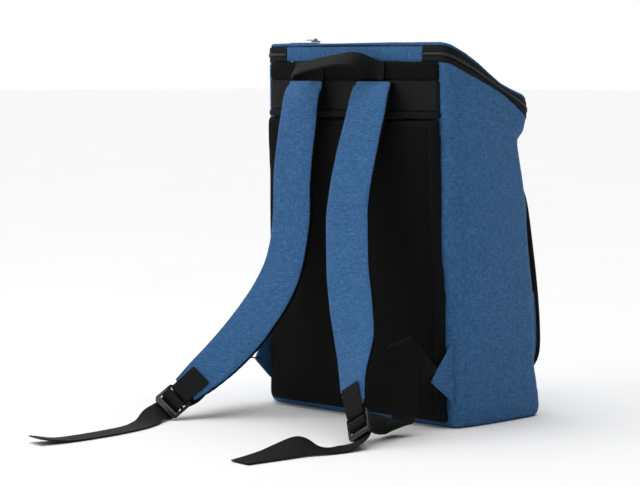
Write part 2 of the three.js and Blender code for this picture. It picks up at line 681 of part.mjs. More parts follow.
// A short tab sewn on the strap's outer face that wraps the lock's top bar.
function buckleTab(stations, frame) {
  const faceOut = (STRAP_FACE + STRAP_MESH + GAP) / 2;
  const end = stations.at(-1);
  const raise = (station) => faceOut * station.thick + 2 * GAP + TAB_THICKNESS / 2;
  const onStrap = (back) => ({
    at: end.at
      .clone()
      .addScaledVector(end.tangent, -back)
      .addScaledVector(end.out, raise(end) + back * TAB_CLIMB),
    across: frame.across,
  });
  const around = BUCKLE_THICKNESS / 2 + TAB_PLAY + TAB_THICKNESS / 2;
  const bar = -BUCKLE_PITCH;
  const wrap = range(0, 4).map((i) => {
    const angle = (Math.PI * i) / 4;
    const reach = BUCKLE_BAR / 2 + TAB_PLAY + TAB_THICKNESS / 2;
    return {
      at: frame.point(bar + reach * Math.sin(angle), around * Math.cos(angle)),
      across: frame.across,
    };
  });
  const tuck = { at: frame.point(bar - BUCKLE_BAR / 2 - TAB_TUCK, -around), across: frame.across };
  const rows = [onStrap(TAB_LENGTH), onStrap(TAB_LENGTH / 2), onStrap(0), ...wrap, tuck];
  return sweep(stationsOf(rows, 1), WEBBING_SECTION, WEBBING_WIDTH - 2 * GAP, TAB_THICKNESS);
}

// A sewn triangle at the bag's lower back edge, which the webbing starts from.
function strapWing(side) {
  const low = WING_RISE;
  const high = WING_RISE + WING_HEIGHT;
  const tip = lerp(low, high, WING_TIP);
  const edge = (z) => halfWidth(heightShare(z)) - BACK_CORNER / 2;
  const seat = (z) => backLine(heightShare(z)) + PAD_GAP;
  const corners = [
    [edge(low), seat(low), low],
    [edge(high), seat(high), high],
    [edge(tip) - BACK_CORNER / 2, seat(tip) + WING_REACH, tip + WEBBING_THICKNESS],
    [edge(tip) - BACK_CORNER / 2, seat(tip) + WING_REACH, tip - WEBBING_THICKNESS],
  ];
  const ring = (shift) => corners.map(([x, y, z]) => vector(side * (x + shift), y, z));
  return loft([ring(-WING_THICKNESS / 2), ring(WING_THICKNESS / 2)]);
}

// The carry handle, a stiff band from one root on the top band to the other. side is a
// share of half HANDLE_SPAN, out of HANDLE_REACH, up of HANDLE_LIFT above the roots.
const HANDLE_ROWS = [
  { side: -1.1, out: 0, up: 0, dip: 90 },
  { side: -0.93, out: 0.04, up: 0.06, dip: 88 },
  { side: -0.75, out: 0.36, up: 0.55, dip: 62 },
  { side: -0.57, out: 0.72, up: 1, dip: 40 },
  { side: -0.18, out: 0.88, up: 0.86, dip: 36 },
  { side: 0.36, out: 0.97, up: 0.5, dip: 38 },
  { side: 0.8, out: 0.97, up: 0.15, dip: 42 },
  { side: 0.98, out: 0.84, up: 0, dip: 56 },
  { side: 1.03, out: 0.56, up: -0.05, dip: 72 },
  { side: 0.98, out: 0.24, up: -0.02, dip: 84 },
  { side: 0.84, out: 0.03, up: 0, dip: 88 },
  { side: 0.66, out: 0, up: 0, dip: 90 },
];

function carryHandle() {
  const rootHeight = RIM_HEIGHT - TOP_BAND_HEIGHT / 2;
  const root = backSurface(0, rootHeight) + PAD_GAP + TOP_BAND_THICKNESS + GAP + HANDLE_THICKNESS / 2;
  const rows = HANDLE_ROWS.map(({ side, out, up, dip }) => {
    const angle = THREE.MathUtils.degToRad(dip);
    return {
      at: vector((side * HANDLE_SPAN) / 2, root + out * HANDLE_REACH, rootHeight + up * HANDLE_LIFT),
      across: vector(0, Math.cos(angle), -Math.sin(angle)),
    };
  });
  return sweep(stationsOf(rows, HANDLE_STEPS), WEBBING_SECTION, HANDLE_WIDTH, HANDLE_THICKNESS);
}

// The front pocket: a zip band round its upper part, a gusset below, and a face panel.
const pocketWide = (z) => halfWidth(heightShare(z)) - POCKET_MARGIN;
function pocketDepth(z) {
  const share = (POCKET_TOP - z) / (POCKET_TOP - POCKET_BOTTOM);
  return POCKET_DEPTH + POCKET_SWELL * Math.sin((Math.PI / 2) * share);
}

function pocketRing() {
  const middle = (POCKET_BOTTOM + POCKET_TOP) / 2;
  const wide = pocketWide(middle);
  const half = (POCKET_TOP - POCKET_BOTTOM) / 2;
  return roundedRectangle(wide, half, POCKET_CORNER).map(([x, z]) => {
    const height = middle + z;
    return [(x * pocketWide(height)) / wide, height];
  });
}

// The part of the pocket's outline above or below a height, cut exactly there.
function outlinePart(ring, height, above) {
  const keep = ([, z]) => (above ? z > height : z < height);
  const first = ring.findIndex((point, k) => keep(point) && !keep(ring.at(k - 1)));
  const kept = [...ring.slice(first), ...ring.slice(0, first)].filter(keep);
  const cut = ([x, z], [u, w]) => [lerp(x, u, (height - z) / (w - z)), height];
  const last = ring.indexOf(kept.at(-1));
  return [cut(ring.at(first - 1), kept[0]), ...kept, cut(kept.at(-1), ring[(last + 1) % ring.length])];
}

// A wall round part of the pocket's outline, from the bag's front out to the face.
function pocketWall(height, above) {
  const middle = (POCKET_BOTTOM + POCKET_TOP) / 2;
  const ordered = outlinePart(pocketRing(), height, above);
  const rings = ordered.map(([x, z], i) => {
    const before = ordered[Math.max(i - 1, 0)];
    const after = ordered[Math.min(i + 1, ordered.length - 1)];
    const out = new THREE.Vector2(after[1] - before[1], before[0] - after[0]).normalize();
    if (out.x * x + out.y * (z - middle) < 0) out.negate();
    const place = (inward, reach) => {
      const height = z - out.y * inward;
      const y = frontSurface(height) - lerp(POCKET_SEAT, PAD_GAP + pocketDepth(height), reach);
      return vector(x - out.x * inward, y, height);
    };
    return [place(0, 0), place(0, 1), place(POCKET_WALL, 1), place(POCKET_WALL, 0)];
  });
  return loft(rings);
}

function pocketFace() {
  const surface = (x, z) => frontSurface(z) - PAD_GAP - pocketDepth(z);
  return surfacePad({
    bottom: POCKET_BOTTOM + POCKET_WALL,
    top: POCKET_TOP - POCKET_WALL,
    wide: (z) => pocketWide(z) - POCKET_WALL,
    corner: POCKET_CORNER - POCKET_WALL,
    thickness: POCKET_FACE,
    surface,
    side: -1,
  });
}

function pocketPiping() {
  const rings = pocketRing().map(([x, z], k, ring) => {
    const before = ring.at(k - 1);
    const after = ring[(k + 1) % ring.length];
    const out = new THREE.Vector2(after[1] - before[1], before[0] - after[0]).normalize();
    const y = frontSurface(z) - 2 * PAD_GAP - pocketDepth(z) - PIPING / 2;
    const place = (outward, forward) => vector(x + out.x * outward, y - forward, z + out.y * outward);
    const half = PIPING / 2;
    return [place(half, 0), place(0, half), place(-half + GAP, 0), place(0, -half)];
  });
  return loft(rings, { loop: true });
}

// The end of the lid's zip lies along the lid's back edge, with the slider at its end.
const sliderPlace = RIM_WIDTH / 2 - SLIDER_INSET;
const tapeLine = backLine(1) - END_TAPE_WIDTH;
const tapeBase = lidBase(tapeLine) + TAPE_SEAT * LID_CROWN + GAP;
const sliderBase = tapeBase + END_TAPE_THICKNESS + GAP;

function zipEndTape() {
  const from = sliderPlace - SLIDER_LENGTH / 2;
  const rows = [0, 0.5, 1].map((share) => ({
    at: vector(from + share * END_TAPE_LENGTH, tapeLine, tapeBase + END_TAPE_THICKNESS / 2),
    across: vector(0, 1, 0),
  }));
  return sweep(stationsOf(rows), WEBBING_SECTION, END_TAPE_WIDTH, END_TAPE_THICKNESS);
}

// Extrudes a side outline, drawn along the zip and upwards, evenly about its middle.
function sideSlab(outline, width, eye = null) {
  const shape = new THREE.Shape(outline.map(([x, z]) => new THREE.Vector2(x, z)));
  if (eye) shape.holes.push(new THREE.Path(eye.map(([x, z]) => new THREE.Vector2(x, z))));
  const settings = { depth: width, bevelEnabled: false };
  return new THREE.ExtrudeGeometry(shape, settings).translate(0, 0, -width / 2).rotateX(Math.PI / 2);
}

// The slider's body with a bail over it. The pull's end bar turns in the bail's eye.
const eyeHeight = PULL_THICKNESS + 2 * PULL_PLAY;
const pivotHeight = SLIDER_HEIGHT + eyeHeight / 2;
const bailTop = SLIDER_HEIGHT + eyeHeight + BAIL_WIRE;
const bailHalf = eyeHeight / 2 + 2 * BAIL_WIRE;

function zipSlider() {
  const half = SLIDER_LENGTH / 2;
  const nose = SLIDER_HEIGHT / 2;
  const body = sideSlab(
    [
      [-half, 0],
      [half, 0],
      [half, nose],
      [half - nose, SLIDER_HEIGHT],
      [nose - half, SLIDER_HEIGHT],
      [-half, nose],
    ],
    SLIDER_WIDTH,
  );
  const eye = eyeHeight / 2;
  const foot = nose;
  const bail = sideSlab(
    [[-bailHalf, foot], [bailHalf, foot], [bailHalf - BAIL_WIRE, bailTop], [BAIL_WIRE - bailHalf, bailTop]],
    BAIL_WIDTH,
    [[-eye, SLIDER_HEIGHT], [-eye, bailTop - BAIL_WIRE], [eye, bailTop - BAIL_WIRE], [eye, SLIDER_HEIGHT]],
  );
  return joined(body, bail);
}

// The pull, drawn from its pivot, with the hole that the bail passes through.
function zipPull() {
  const bar = PULL_THICKNESS / 2;
  const half = PULL_WIDTH / 2;
  const tip = PULL_LENGTH - half;
  const shape = new THREE.Shape();
  shape.moveTo(-bar, -half);
  shape.lineTo(tip, -half);
  shape.absarc(tip, 0, half, -Math.PI / 2, Math.PI / 2, false);
  shape.lineTo(-bar, half);
  const hole = new THREE.Path();
  const side = BAIL_WIDTH / 2 + PULL_PLAY;
  const reach = bailHalf + 2 * PULL_PLAY;
  hole.moveTo(bar, -side);
  hole.lineTo(bar, side);
  hole.lineTo(reach, side);
  hole.lineTo(reach, -side);
  shape.holes.push(hole);
  const settings = { depth: PULL_THICKNESS, bevelEnabled: false, curveSegments: 8 };
  return new THREE.ExtrudeGeometry(shape, settings).translate(0, 0, -PULL_THICKNESS / 2);
}

add("body_shell", bodyShell(), fabric(BLUE));
add("base_panel", basePanel(), fabric(BLACK));
add("back_pad", backPad(PAD_BOTTOM, PAD_TOP, PAD_THICKNESS, PAD_CORNER), fabric(BLACK));
const ridgeBottom = PAD_TOP + PAD_GAP;
add("back_ridge", backPad(ridgeBottom, ridgeBottom + RIDGE_HEIGHT, RIDGE_PROUD, RIDGE_CORNER), fabric(BLACK));
const yokeBottom = ridgeBottom + RIDGE_HEIGHT + PAD_GAP;
const bandBottom = RIM_HEIGHT - TOP_BAND_HEIGHT;
add("back_yoke", backPad(yokeBottom, bandBottom - PAD_GAP, YOKE_THICKNESS, YOKE_CORNER), fabric(BLACK));
add("top_band", backPad(bandBottom, RIM_HEIGHT - PAD_GAP, TOP_BAND_THICKNESS, YOKE_CORNER), fabric(BLACK));

const coilShare = ZIP_COIL / BAND_HEIGHT;
const coilGap = 0.05;
add("zip_tape_lower", rimBand(zipStations, 0, 0.5 - coilShare - coilGap), fabric(BLACK));
add("zip_coil", rimBand(zipStations, 0.5 - coilShare, 0.5 + coilShare, COIL_PROUD), fabric(BLACK, 0.5));
add("zip_tape_upper", rimBand(zipStations, 0.5 + coilShare + coilGap, 1), fabric(BLACK));
add("hinge_strip", rimBand(hingeStations, 0, 1, 0, BAND_WALL, GAP), fabric(BLUE));
add("lid_panel", lidPanel(), fabric(BLUE));

add("carry_handle", carryHandle(), fabric(BLACK, 0.6));
for (const hand of ["left", "right"]) {
  const stations = strapStations(STRAP_ROWS[hand]);
  const frame = buckleFrame(stations);
  const whole = STRAP_FACE + STRAP_MESH + GAP;
  const faceShift = (station) => (station.thick * (whole - STRAP_FACE)) / 2;
  const meshShift = (station) => -GAP / 2 - (station.thick * (whole - STRAP_MESH)) / 2;
  const face = sweep(stations, PADDED_SECTION, STRAP_WIDTH, STRAP_FACE, faceShift);
  const mesh = sweep(stations, MESH_SECTION, STRAP_WIDTH - 2 * STRAP_BINDING, STRAP_MESH, meshShift);
  add("shoulder_strap_" + hand, face, fabric(BLUE));
  add("strap_mesh_" + hand, mesh, fabric(BLACK));
  add("buckle_tab_" + hand, buckleTab(stations, frame), fabric(BLACK, 0.6));
  const lock = add("ladder_lock_" + hand, ladderLock(), fabric(BLACK, 0.35));
  const basis = new THREE.Matrix4().makeBasis(frame.across, frame.tangent, frame.out.clone().negate());
  lock.quaternion.setFromRotationMatrix(basis);
  lock.position.copy(frame.origin);
  add("strap_webbing_" + hand, strapWebbing(hand, frame), fabric(BLACK, 0.6));
  add("strap_wing_" + hand, strapWing(hand === "left" ? 1 : -1), fabric(BLUE));
}

add("pocket_zip_band", pocketWall(POCKET_PINCH + GAP, true), fabric(BLACK));
add("pocket_gusset", pocketWall(POCKET_PINCH, false), fabric(BLUE));
add("pocket_face", pocketFace(), fabric(BLUE));
add("pocket_piping", pocketPiping(), fabric(BLACK, 0.6));

add("zip_end_tape", zipEndTape(), fabric(BLACK));
const metal = () => new THREE.MeshStandardMaterial({ color: 0x55585c, roughness: 0.35, metalness: 1 });
add("zip_slider", zipSlider(), metal()).position.set(sliderPlace, tapeLine, sliderBase);
add("zip_pull", zipPull(), metal()).position.set(sliderPlace, tapeLine, sliderBase + pivotHeight);

export default object;
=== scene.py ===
import math

import bpy
import numpy as np
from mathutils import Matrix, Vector, noise
from mathutils.bvhtree import BVHTree


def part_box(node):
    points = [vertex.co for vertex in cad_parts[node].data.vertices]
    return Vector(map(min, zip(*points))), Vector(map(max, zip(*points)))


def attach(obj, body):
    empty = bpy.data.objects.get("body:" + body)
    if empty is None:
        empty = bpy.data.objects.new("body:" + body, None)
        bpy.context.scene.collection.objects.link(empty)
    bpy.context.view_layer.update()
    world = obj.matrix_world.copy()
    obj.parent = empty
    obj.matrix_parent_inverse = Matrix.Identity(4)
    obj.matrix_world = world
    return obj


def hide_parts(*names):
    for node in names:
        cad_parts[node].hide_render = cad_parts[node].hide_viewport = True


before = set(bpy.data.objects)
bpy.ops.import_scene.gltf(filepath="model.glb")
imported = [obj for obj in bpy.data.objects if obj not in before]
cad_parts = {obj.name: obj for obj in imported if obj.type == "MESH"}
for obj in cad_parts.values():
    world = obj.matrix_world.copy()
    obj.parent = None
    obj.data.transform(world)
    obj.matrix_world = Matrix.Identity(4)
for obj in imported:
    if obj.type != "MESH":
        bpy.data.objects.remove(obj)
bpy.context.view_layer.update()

bl_info = {
    "name": "Cooler Backpack",
    "version": (1, 0, 0),
    "blender": (4, 5, 0),
    "location": "View3D > Sidebar > Backpack",
    "description": "Dresses the packed frame of a soft cooler backpack in sewn fabric",
    "category": "Object",
}

BODY = "bag"
PULL_BODY = "pull"
HANDS = ("left", "right")
MM = 0.001

# How far a piece is grown to close the gaps that its softened edges leave.
FILL_GAP = 1.5 * MM
TAPE_GROW = 0.7 * MM
RIDGE_GROW = 1.6 * MM

# The back pad's filling, and how quickly its points are let go as they turn towards the wearer.
CLOTH_QUALITY = 4
CLOTH_PRESSURE = 4.0
CLOTH_FRAMES = 16
WEARER_SLOPE = 1.5
NO_MOVE = 1e-9

# Where the blue weave's dark, middle and light yarns stand in its noise.
DARK_YARNS = 0.3
MIDDLE_YARNS = 0.5
LIGHT_YARNS = 0.72

# Spacer mesh: the rows' distance and the holes' edge, as shares of the pitch.
MESH_ROW = 1.6
HOLE_INNER = 0.2
HOLE_OUTER = 0.36

# A stitch's height and how far it stands out, as shares of the thread.
STITCH_FLAT = 0.7
STITCH_RISE = 0.12

# Face directions and the height that part the tub's inner wall and floor from its outside.
LEVEL_FACE = 0.7
INWARD_FACE = -0.05
INNER_FLOOR = 12 * MM

# Spacing of the slow waves in the tapes, and how quickly a crease starts as the surface turns to it.
TAPE_SPACING = 35 * MM
FOLD_SLOPE = 2

# The back pad's outline is read in level bands, and its border has a pressed seam and a soft edge.
BANDS = 60
BAND_HEIGHT = 5 * MM
BORDER_SEAM_WIDTH = 1.6 * MM
BORDER_SEAM_DEPTH = 1.3 * MM
BORDER_SOFT = 1.5 * MM

# A strap's edges are read in level bands and eased. Its hems keep off both ends, and its stitches are
# looked for a little in front of the edge.
EDGE_BAND = 1.6 * MM
EDGE_ROUNDS = 4
HEM_START = 22 * MM
HEM_END = 6 * MM
HEM_STEPS = 70
STITCH_SEARCH = 3 * MM


def linear(text):
    """Turns an sRGB hex value into linear RGBA."""
    channels = [int(text[i:i + 2], 16) / 255 for i in (0, 2, 4)]
    return [c / 12.92 if c <= 0.04045 else ((c + 0.055) / 1.055) ** 2.4 for c in channels] + [1.0]


def size(name, default, description):
    """A length property in metres, given in millimetres."""
    return bpy.props.FloatProperty(
        name=name, description=description, default=default * MM, min=0.0, unit="LENGTH", precision=5
    )


def colour(name, default, description):
    """A colour property, given as an sRGB hex value."""
    return bpy.props.FloatVectorProperty(
        name=name, description=description, default=linear(default), size=4, min=0.0, max=1.0, subtype="COLOR"
    )


class BagSizes(bpy.types.PropertyGroup):
    """Sizes that the fabric pieces are made with."""

    panel_grid: size("Panel grid", 3.0, "Mesh size of the tub's skin")
    pad_grid: size("Pad grid", 2.2, "Mesh size of the padded pieces")
    strap_grid: size("Strap grid", 1.5, "Mesh size of the shoulder straps")
    panel_wave: size("Panel wave", 1.4, "Depth of the slow waves in the side and front panels")
    strap_wave: size("Strap wave", 0.6, "Depth of the slow waves in the straps")
    pad_wave: size("Pad wave", 0.8, "Depth of the slow waves in the pads")
    corner_crease: size("Corner crease", 2.4, "Depth of the pinched seam beside each back corner")
    base_seam: size("Base seam", 0.9, "Depth of the seam above the base")
    base_seam_height: size("Base seam height", 34.0, "Height of the seam above the floor")
    border: size("Border", 9.0, "Width of the plain border round the back pad")
    hem: size("Hem", 0.9, "Radius of the turned hem along the straps")
    stitch: size("Stitch", 3.4, "Length of one stitch")
    stitch_gap: size("Stitch gap", 1.4, "Distance between two stitches")
    # Real sewing thread is about 0.3 mm wide, too fine to show, so this is drawn coarser.
    thread: size("Thread", 0.75, "Width of the sewing thread")
    stitch_inset: size("Stitch inset", 4.5, "Distance of a stitch row from its edge")
    # Real yarns are about 0.5 mm wide, too fine to show, so these are drawn coarser.
    yarn: size("Yarn", 1.0, "Width of a yarn in the blue weave")
    slub: size("Slub", 7.0, "Length of a light or dark stretch of yarn")
    mesh_pitch: size("Mesh pitch", 4.4, "Distance between the holes of the spacer mesh")
    rib: size("Rib", 1.6, "Distance between the ribs of the webbing")
    tooth: size("Zip tooth", 1.7, "Distance between the turns of the zip's coil")


class BagColours(bpy.types.PropertyGroup):
    """Colours of the materials."""

    blue: colour("Blue", "376594", "Main tone of the blue weave")
    blue_dark: colour("Blue, dark yarn", "274B77", "Darkest yarns")
    blue_light: colour("Blue, light yarn", "5580AC", "Lightest yarns")
    thread: colour("Blue thread", "4A7AB0", "Thread of the blue seams")
    black: colour("Black", "0B0C0C", "Black twill")
    black_light: colour("Black, worn", "131415", "Rubbed black twill and webbing")
    mesh: colour("Mesh", "121313", "Threads of the spacer mesh")
    # Painted shade: this dark colour stands in for the shade down the spacer mesh's holes and between the zip
    # coil's turns.
    hole_shade: colour("Mesh hole", "040404", "Depth of the spacer mesh's holes")
    plastic: colour("Plastic", "0E0F10", "Moulded locks")
    metal: colour("Metal", "4A4C50", "Zip slider and pull")
    metal_light: colour("Metal, rubbed", "75787D", "Rubbed edges of the slider and pull")
    floor: colour("Floor", "F6F6F6", "Studio floor")
    floor_dark: colour("Floor, dark", "F2F2F2", "Darker grain of the studio floor")


def add_node(tree, kind, inputs=None, **settings):
    """Adds a node with its settings, and links or sets its inputs."""
    node = tree.nodes.new(kind)
    for name, value in settings.items():
        setattr(node, name, value)
    for key, value in (inputs or {}).items():
        if isinstance(value, bpy.types.NodeSocket):
            tree.links.new(value, node.inputs[key])
        else:
            node.inputs[key].default_value = value
    return node


def new_material(name):
    """An empty material with the place of each point on the object."""
    material = bpy.data.materials.new(name)
    material.use_nodes = True
    tree = material.node_tree
    tree.nodes.clear()
    return material, tree, add_node(tree, "ShaderNodeTexCoord").outputs["Object"]


def finish_material(tree, inputs):
    """Closes a material with its shader."""
    shader = add_node(tree, "ShaderNodeBsdfPrincipled", inputs)
    add_node(tree, "ShaderNodeOutputMaterial", {"Surface": shader.outputs["BSDF"]})


def waves_along(tree, place, direction, pitch):
    """Even waves along a direction."""
    scaled = [2 * math.pi / pitch * part for part in direction]
    along = add_node(tree, "ShaderNodeVectorMath", {0: place, 1: scaled}, operation="DOT_PRODUCT")
    return add_node(tree, "ShaderNodeMath", {0: along.outputs["Value"]}, operation="SINE").outputs[0]


def crossed_threads(tree, place, pitch):
    """Height of a plain weave: one set of threads upwards and one across."""
    upright = waves_along(tree, place, (1, 1, 0), pitch)
    level = waves_along(tree, place, (0, 0, 1), pitch)
    return add_node(tree, "ShaderNodeMath", {0: upright, 1: level}, operation="MULTIPLY").outputs[0]


def streaks(tree, place, wide, long, upright):
    """Noise drawn out along the warp or along the weft."""
    across, along = 1 / wide, 1 / long
    scale = (across, across, along) if upright else (along, along, across)
    mapped = add_node(tree, "ShaderNodeMapping", {"Vector": place, "Scale": scale})
    made = add_node(tree, "ShaderNodeTexNoise", {"Vector": mapped.outputs[0], "Scale": 1.0, "Detail": 2.0})
    return made.outputs["Fac"]


def melange_polyester(sizes, colours):
    """Woven melange polyester: light and dark yarns make short streaks both ways, with no gloss."""
    material, tree, place = new_material("woven_melange_polyester")
    warp = streaks(tree, place, sizes.yarn, sizes.slub, True)
    weft = streaks(tree, place, sizes.yarn, sizes.slub, False)
    total = add_node(tree, "ShaderNodeMath", {0: warp, 1: weft}, operation="ADD").outputs[0]
    both = add_node(tree, "ShaderNodeMath", {0: total, 1: 0.5}, operation="MULTIPLY").outputs[0]
    ramp = add_node(tree, "ShaderNodeValToRGB", {"Fac": both})
    stops = ramp.color_ramp.elements
    stops[0].position = DARK_YARNS
    stops[0].color = colours.blue_dark
    stops[1].position = LIGHT_YARNS
    stops[1].color = colours.blue_light
    stops.new(MIDDLE_YARNS).color = colours.blue
    threads = crossed_threads(tree, place, sizes.yarn)
    height = add_node(tree, "ShaderNodeMath", {0: threads, 1: both}, operation="ADD").outputs[0]
    bump = add_node(tree, "ShaderNodeBump", {"Height": height, "Strength": 0.3, "Distance": 0.2 * MM})
    finish_material(tree, {
        "Base Color": ramp.outputs["Color"],
        "Normal": bump.outputs["Normal"],
        "Roughness": 0.9,
        "Sheen Weight": 0.08,
        "Sheen Roughness": 0.5,
        "Specular IOR Level": 0.12,
    })
    return material


def spacer_mesh(sizes, colours):
    """Polyester spacer mesh: a knitted face with staggered round holes filled with painted shade, plain in
    its bound border.
    """
    material, tree, place = new_material("knitted_spacer_mesh")
    cells = (1 / sizes.mesh_pitch, 0, 1 / (sizes.mesh_pitch * MESH_ROW))
    spots = []
    for shift in (0.0, 0.5):
        scaled = add_node(tree, "ShaderNodeVectorMath", {0: place, 1: cells, 2: (shift, 0, shift)},
                          operation="MULTIPLY_ADD").outputs[0]
        cell = add_node(tree, "ShaderNodeVectorMath", {0: scaled}, operation="FRACTION").outputs[0]
        centred = add_node(tree, "ShaderNodeVectorMath", {0: cell, 1: (0.5, 0, 0.5)},
                           operation="SUBTRACT").outputs[0]
        even = add_node(tree, "ShaderNodeVectorMath", {0: centred, 1: (1, 0, MESH_ROW)},
                        operation="MULTIPLY").outputs[0]
        length = add_node(tree, "ShaderNodeVectorMath", {0: even}, operation="LENGTH")
        spots.append(length.outputs["Value"])
    nearest = add_node(tree, "ShaderNodeMath", {0: spots[0], 1: spots[1]}, operation="MINIMUM").outputs[0]
    face = add_node(tree, "ShaderNodeMapRange",
                    {"Value": nearest, "From Min": HOLE_INNER, "From Max": HOLE_OUTER},
                    interpolation_type="SMOOTHSTEP").outputs[0]
    bound = add_node(tree, "ShaderNodeAttribute", attribute_name="border").outputs["Fac"]
    height = add_node(tree, "ShaderNodeMath", {0: face, 1: bound}, operation="MAXIMUM").outputs[0]
    bump = add_node(tree, "ShaderNodeBump", {"Height": height, "Strength": 0.7, "Distance": 0.8 * MM})
    # Painted shade: the holes take the dark hole colour in place of the shade inside them, and the knitted
    # face takes the mesh colour.
    tone = add_node(tree, "ShaderNodeMix", {0: height, 6: colours.hole_shade, 7: colours.mesh}, data_type="RGBA")
    finish_material(tree, {
        "Base Color": tone.outputs[2],
        "Normal": bump.outputs["Normal"],
        "Roughness": 0.8,
        "Specular IOR Level": 0.08,
    })
    return material


def black_twill(sizes, colours):
    """Coated polyester twill: smooth, close and a little glossy, so that its folds catch a soft light."""
    material, tree, place = new_material("coated_polyester_twill")
    threads = waves_along(tree, place, (0.5, 0.5, 0.7), 0.8 * sizes.yarn)
    worn = add_node(tree, "ShaderNodeTexNoise", {"Vector": place, "Scale": 45.0, "Detail": 3.0})
    bump = add_node(tree, "ShaderNodeBump", {"Height": threads, "Strength": 0.2, "Distance": 0.15 * MM})
    tone = add_node(tree, "ShaderNodeMix",
                    {0: worn.outputs["Fac"], 6: colours.black, 7: colours.black_light}, data_type="RGBA")
    finish_material(tree, {
        "Base Color": tone.outputs[2],
        "Normal": bump.outputs["Normal"],
        "Roughness": 0.55,
        "Specular IOR Level": 0.14,
    })
    return material


def nylon_webbing(sizes, colours):
    """Woven nylon webbing: fine ribs with a soft shine."""
    material, tree, place = new_material("woven_nylon_webbing")
    threads = crossed_threads(tree, place, sizes.rib)
    fibres = add_node(tree, "ShaderNodeTexNoise", {"Vector": place, "Scale": 900.0, "Detail": 2.0})
    bump = add_node(tree, "ShaderNodeBump", {"Height": threads, "Strength": 0.45, "Distance": 0.25 * MM})
    tone = add_node(tree, "ShaderNodeMix",
                    {0: fibres.outputs["Fac"], 6: colours.black, 7: colours.black_light}, data_type="RGBA")
    finish_material(tree, {
        "Base Color": tone.outputs[2],
        "Normal": bump.outputs["Normal"],
        "Roughness": 0.6,
        "Specular IOR Level": 0.12,
    })
    return material


def coiled_nylon(sizes, colours):
    """Nylon zip coil: even turns with a satin shine, and painted shade in the dark gaps between them."""
    material, tree, place = new_material("coiled_nylon")
    turns = waves_along(tree, place, (0.8, 1, 0), sizes.tooth)
    share = add_node(tree, "ShaderNodeMapRange",
                     {"Value": turns, "From Min": -0.6, "From Max": 0.2}).outputs[0]
    bump = add_node(tree, "ShaderNodeBump", {"Height": share, "Strength": 0.9, "Distance": 0.6 * MM})
    # Painted shade: the gaps between the turns take the dark hole colour, and the crests take the worn black.
    tone = add_node(tree, "ShaderNodeMix", {0: share, 6: colours.hole_shade, 7: colours.black_light},
                    data_type="RGBA")
    finish_material(tree, {
        "Base Color": tone.outputs[2],
        "Normal": bump.outputs["Normal"],
        "Roughness": 0.4,
    })
    return material


def moulded_acetal(sizes, colours):
    """Injection-moulded acetal: a smooth skin with slight flow waves, so its highlights stay soft."""
    material, tree, place = new_material("moulded_acetal")
    noises = add_node(tree, "ShaderNodeTexNoise", {"Vector": place, "Scale": 160.0, "Detail": 2.0})
    flow = noises.outputs["Fac"]
    bump = add_node(tree, "ShaderNodeBump", {"Height": flow, "Strength": 0.1, "Distance": 0.2 * MM})
    tone = add_node(tree, "ShaderNodeMix", {0: flow, 6: colours.plastic, 7: colours.black},
                    data_type="RGBA")
    finish_material(tree, {
        "Base Color": tone.outputs[2],
        "Normal": bump.outputs["Normal"],
        "Roughness": 0.24,
        "IOR": 1.48,
    })
    return material


def nickel_plated_zinc(sizes, colours):
    """Die-cast zinc with dark nickel plating, rubbed a little brighter in places."""
    material, tree, place = new_material("nickel_plated_zinc")
    noises = add_node(tree, "ShaderNodeTexNoise", {"Vector": place, "Scale": 400.0, "Detail": 3.0})
    rubbed = noises.outputs["Fac"]
    rough = add_node(tree, "ShaderNodeMapRange", {"Value": rubbed, "To Min": 0.22, "To Max": 0.42})
    tone = add_node(tree, "ShaderNodeMix", {0: rubbed, 6: colours.metal, 7: colours.metal_light},
                    data_type="RGBA")
    finish_material(tree, {
        "Base Color": tone.outputs[2],
        "Metallic": 1.0,
        "Roughness": rough.outputs[0],
    })
    return material


def sewing_thread(sizes, colours):
    """Spun polyester thread: matt, with its twist showing as fine slanted lines."""
    material, tree, place = new_material("spun_polyester_thread")
    twist = waves_along(tree, place, (0.7, 0.3, 0.7), sizes.thread)
    bump = add_node(tree, "ShaderNodeBump", {"Height": twist, "Strength": 0.4, "Distance": 0.1 * MM})
    share = add_node(tree, "ShaderNodeMapRange", {"Value": twist, "From Min": -1.0}).outputs[0]
    tone = add_node(tree, "ShaderNodeMix", {0: share, 6: colours.blue, 7: colours.thread}, data_type="RGBA")
    finish_material(tree, {
        "Base Color": tone.outputs[2],
        "Normal": bump.outputs["Normal"],
        "Roughness": 0.8,
        "Specular IOR Level": 0.2,
    })
    return material


FINISHES = {
    "blue_weave": melange_polyester,
    "black_mesh": spacer_mesh,
    "black_weave": black_twill,
    "black_webbing": nylon_webbing,
    "zip_plastic": coiled_nylon,
    "buckle_plastic": moulded_acetal,
    "zip_metal": nickel_plated_zinc,
    "blue_thread": sewing_thread,
}
MADE = {}


def material_of(finish, context):
    """The material of a finish, made once."""
    if finish not in MADE:
        MADE[finish] = FINISHES[finish](context.scene.bag_sizes, context.scene.bag_colours)
    return MADE[finish]


def choose(piece):
    """Selects one piece alone."""
    bpy.ops.object.select_all(action="DESELECT")
    piece.select_set(True)
    bpy.context.view_layer.objects.active = piece


def points_of(piece):
    """The piece's points as an array."""
    found = np.empty(len(piece.data.vertices) * 3)
    piece.data.vertices.foreach_get("co", found)
    return found.reshape(-1, 3)


def move_points(piece, places):
    """Writes the piece's points back."""
    piece.data.vertices.foreach_set("co", places.ravel())
    piece.data.update()


def normals_of(piece):
    """The piece's point normals as an array."""
    found = np.empty(len(piece.data.vertices) * 3)
    piece.data.vertex_normals.foreach_get("vector", found)
    return found.reshape(-1, 3)


def apply_modifier(piece, kind, **settings):
    """Adds a modifier and applies it."""
    choose(piece)
    modifier = piece.modifiers.new(kind.title(), kind)
    for name, value in settings.items():
        setattr(modifier, name, value)
    bpy.ops.object.modifier_apply(modifier=modifier.name)


def smoothed(piece, levels=1):
    """Subdivides the piece as a smooth surface."""
    apply_modifier(piece, "SUBSURF", levels=levels, render_levels=levels)


